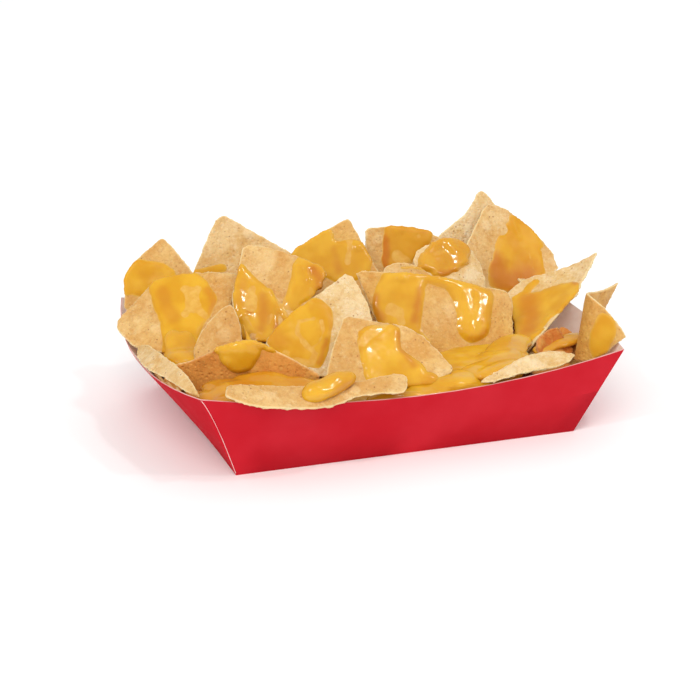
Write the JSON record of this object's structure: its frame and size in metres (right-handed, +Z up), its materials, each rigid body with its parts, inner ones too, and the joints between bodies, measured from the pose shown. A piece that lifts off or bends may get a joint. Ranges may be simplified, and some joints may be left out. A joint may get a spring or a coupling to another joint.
{
  "type": "nachos in a paper tray",
  "caption": "Red paperboard food tray heaped with corn tortilla chips and melted cheese sauce, resting on its flat base.",
  "frame": {"origin": "centre of the tray's flat base, on the surface it stands on", "axes": "+X along the tray's long side, -Y towards its front, +Z up"},
  "size_m": [0.2229, 0.151, 0.0794],
  "materials": {
    "red_board": "smooth coated red board outside, pale inside, thin white cut edges",
    "chip_tan": "fried corn tortilla, matte, speckled, toasted at the rims and blisters",
    "chip_cream": "paler fried corn tortilla, matte, lightly speckled",
    "chip_heap": "tortilla chips lying on each other in the tray",
    "cheese_sauce": "glossy, thick, slightly see-through melted cheese sauce"
  },
  "bodies": {
    "root": {"tray": "red_board", "chip_bed": "chip_heap", "chip_back_left_low": "chip_tan", "chip_back_left_tall": "chip_tan", "chip_back_middle": "chip_tan", "chip_back_round": "chip_tan", "chip_back_right_tip": "chip_cream", "chip_back_right": "chip_tan", "chip_left_wide": "chip_tan", "chip_centre_left": "chip_tan", "chip_under_blob": "chip_cream", "chip_behind_flat": "chip_tan", "chip_left_small": "chip_tan", "chip_centre_bright": "chip_cream", "chip_right_large": "chip_tan", "chip_right_trough": "chip_cream", "chip_front_tent": "chip_tan", "chip_front_centre": "chip_tan", "chip_right_shaded": "chip_tan", "chip_right_folded": "chip_tan", "chip_rim_left": "chip_cream", "chip_rim_front": "chip_cream", "chip_rim_right": "chip_cream", "chip_rear_left": "chip_tan", "chip_rear_middle": "chip_cream", "chip_rear_right": "chip_tan", "chip_rear_corner": "chip_tan", "chip_right_end": "chip_tan", "sauce_back_left_low": "cheese_sauce", "sauce_back_middle": "cheese_sauce", "sauce_back_round": "cheese_sauce", "sauce_back_right": "cheese_sauce", "sauce_left_wide": "cheese_sauce", "sauce_centre_left": "cheese_sauce", "sauce_centre_top": "cheese_sauce", "sauce_blob": "cheese_sauce", "sauce_centre_bright": "cheese_sauce", "sauce_right_left": "cheese_sauce", "sauce_right_tongue": "cheese_sauce", "sauce_right_trough": "cheese_sauce", "sauce_front_centre": "cheese_sauce", "sauce_front_drip": "cheese_sauce", "sauce_right_folded": "cheese_sauce", "sauce_rim_front": "cheese_sauce", "sauce_rim_right": "cheese_sauce", "pool_front_left": "cheese_sauce", "pool_front_right": "cheese_sauce", "pool_right_fan": "cheese_sauce"}
  },
  "joints": []
}
